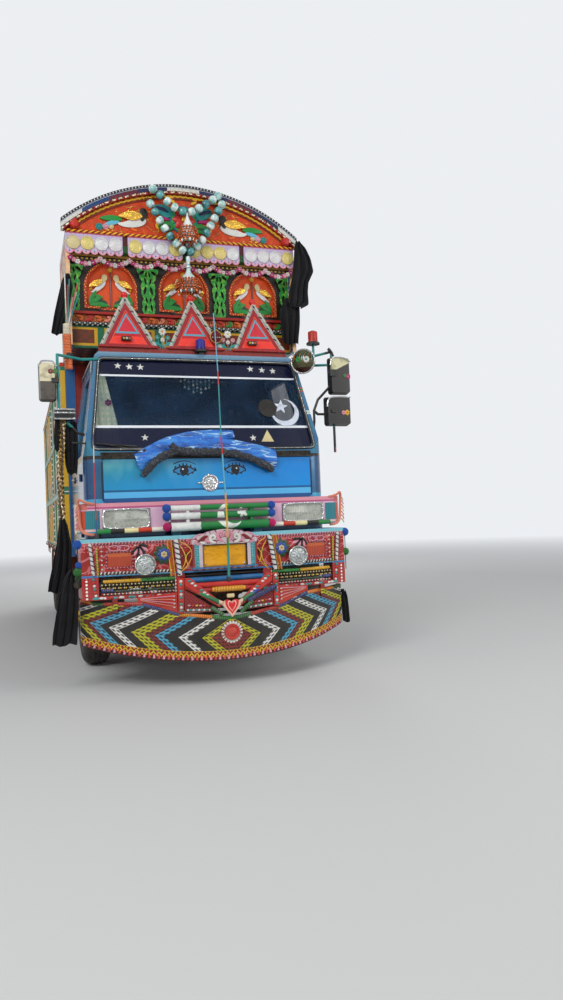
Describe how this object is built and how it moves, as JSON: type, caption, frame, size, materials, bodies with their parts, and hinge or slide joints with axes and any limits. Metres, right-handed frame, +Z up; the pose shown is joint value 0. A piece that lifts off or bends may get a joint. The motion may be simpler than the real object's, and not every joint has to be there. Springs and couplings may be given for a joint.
{
  "type": "painted flat-nosed truck",
  "caption": "Two-axle forward-control truck with a painted high-sided timber body, a carved arched crown over the cab, roof triangles, bowed bumper and a woven chevron skirt.",
  "frame": {"origin": "on the ground at the middle of the overall box, under the truck's mid-plane", "axes": "+Z up, nose towards -Y, +X to the truck's left"},
  "size_m": [3.06, 8.6, 4.98],
  "materials": {
    "arch_red": "gloss paint",
    "bare_timber": "weathered",
    "black_cloth": "thin cotton",
    "blue_vinyl": "wrinkled sheet",
    "cab_blue": "gloss enamel",
    "cast_grey": "rough",
    "chassis_paint": "dusty black enamel",
    "chassis_steel": "rough dark",
    "clear_glass": "clear",
    "crown_paint": "gloss paint on boards",
    "dark_plastic": "grained",
    "dark_trim": "gloss paint",
    "fretwork_green": "gloss paint",
    "lamp_glass": "fluted",
    "painted_timber": "gloss paint on boards",
    "panel_blue": "gloss enamel",
    "pink_paint": "gloss enamel",
    "red_paint": "gloss enamel",
    "rim_paint": "foil and gloss paint",
    "rubber": "matt black rubber",
    "seat_vinyl": "woven cover",
    "tank_paint": "grey enamel",
    "teal_paint": "gloss enamel",
    "tube_paint": "gloss enamel",
    "valance_pink": "gloss paint",
    "wheel_paint": "enamel",
    "woven_trim": "woven beads"
  },
  "bodies": {
    "chassis": {"arch_rim": "rim_paint", "black_cloths": "black_cloth", "blue_sheet": "blue_vinyl", "body_floor": "bare_timber", "body_front_wall": "painted_timber", "body_sides": "painted_timber", "bumper": "red_paint", "cab_shell": "cab_blue", "cab_steps": "chassis_paint", "chassis_frame": "chassis_paint", "cornice": "dark_trim", "crown_box": "crown_paint", "crown_columns": "fretwork_green", "crown_front": "crown_paint", "dashboard": "dark_plastic", "engine": "cast_grey", "front_axle": "chassis_steel", "front_panel": "panel_blue", "front_tubes": "tube_paint", "fuel_tank": "tank_paint", "lamp_panel": "pink_paint", "lamps": "lamp_glass", "leaf_springs": "chassis_steel", "mirrors": "teal_paint", "pediment": "arch_red", "plate_frame": "pink_paint", "rear_axle": "chassis_steel", "rear_bumper": "chassis_paint", "rear_frame": "painted_timber", "rear_mudguards": "chassis_paint", "roof_triangles": "red_paint", "seats": "seat_vinyl", "skirt": "woven_trim", "steering_wheel": "dark_plastic", "tool_box": "red_paint", "v_bars": "red_paint", "valances": "valance_pink", "windscreen": "clear_glass"},
    "knuckle_left": {"knuckle_left": "chassis_steel"},
    "knuckle_right": {"knuckle_right": "chassis_steel"},
    "tie_rod": {"tie_rod": "chassis_steel"},
    "wheel_front_left": {"tyre_front_left": "rubber", "rim_front_left": "wheel_paint"},
    "wheel_front_right": {"tyre_front_right": "rubber", "rim_front_right": "wheel_paint"},
    "wheel_rear_left": {"tyre_rear_left": "rubber", "rim_rear_left": "wheel_paint"},
    "wheel_rear_right": {"tyre_rear_right": "rubber", "rim_rear_right": "wheel_paint"},
    "door_left": {"door_left": "cab_blue", "door_glass_left": "clear_glass"},
    "door_right": {"door_right": "cab_blue", "door_glass_right": "clear_glass"},
    "tailgate": {"tailgate": "painted_timber"},
    "rear_door_left": {"rear_door_left": "painted_timber"},
    "rear_door_right": {"rear_door_right": "painted_timber"}
  },
  "joints": [
    {"name": "steer_left", "type": "hinge", "parent": "chassis", "child": "knuckle_left", "pos_m": [0.835, -2.48, 0.52], "axis": [0, 0, 1], "range_deg": [-35, 35]},
    {"name": "steer_right", "type": "hinge", "parent": "chassis", "child": "knuckle_right", "pos_m": [-0.835, -2.48, 0.52], "axis": [0, 0, 1], "range_deg": [-35, 35]},
    {"name": "tie_rod_end", "type": "hinge", "parent": "knuckle_left", "child": "tie_rod", "pos_m": [0.835, -2.33, 0.404], "axis": [0, 0, 1], "range_deg": [-35, 35]},
    {"name": "spin_front_left", "type": "hinge", "parent": "knuckle_left", "child": "wheel_front_left", "pos_m": [1.02, -2.48, 0.52], "axis": [1, 0, 0], "continuous": true},
    {"name": "spin_front_right", "type": "hinge", "parent": "knuckle_right", "child": "wheel_front_right", "pos_m": [-1.02, -2.48, 0.52], "axis": [1, 0, 0], "continuous": true},
    {"name": "spin_rear_left", "type": "hinge", "parent": "chassis", "child": "wheel_rear_left", "pos_m": [0.925, 2.52, 0.52], "axis": [1, 0, 0], "continuous": true},
    {"name": "spin_rear_right", "type": "hinge", "parent": "chassis", "child": "wheel_rear_right", "pos_m": [-0.925, 2.52, 0.52], "axis": [1, 0, 0], "continuous": true},
    {"name": "door_left_hinge", "type": "hinge", "parent": "chassis", "child": "door_left", "pos_m": [1.183, -3.45, 1.65], "axis": [0, 0, -1], "range_deg": [0, 70]},
    {"name": "door_right_hinge", "type": "hinge", "parent": "chassis", "child": "door_right", "pos_m": [-1.183, -3.45, 1.65], "axis": [0, 0, 1], "range_deg": [0, 70]},
    {"name": "tailgate_hinge", "type": "hinge", "parent": "chassis", "child": "tailgate", "pos_m": [0, 4.289, 1.276], "axis": [-1, 0, 0], "range_deg": [0, 95]},
    {"name": "rear_door_left_hinge", "type": "hinge", "parent": "chassis", "child": "rear_door_left", "pos_m": [1.074, 4.289, 2.7], "axis": [0, 0, -1], "range_deg": [0, 110]},
    {"name": "rear_door_right_hinge", "type": "hinge", "parent": "chassis", "child": "rear_door_right", "pos_m": [-1.074, 4.289, 2.7], "axis": [0, 0, 1], "range_deg": [0, 110]}
  ],
  "couplings": [
    {"joint": "steer_right", "follows": "steer_left", "ratio": 1},
    {"joint": "tie_rod_end", "follows": "steer_left", "ratio": -1}
  ]
}
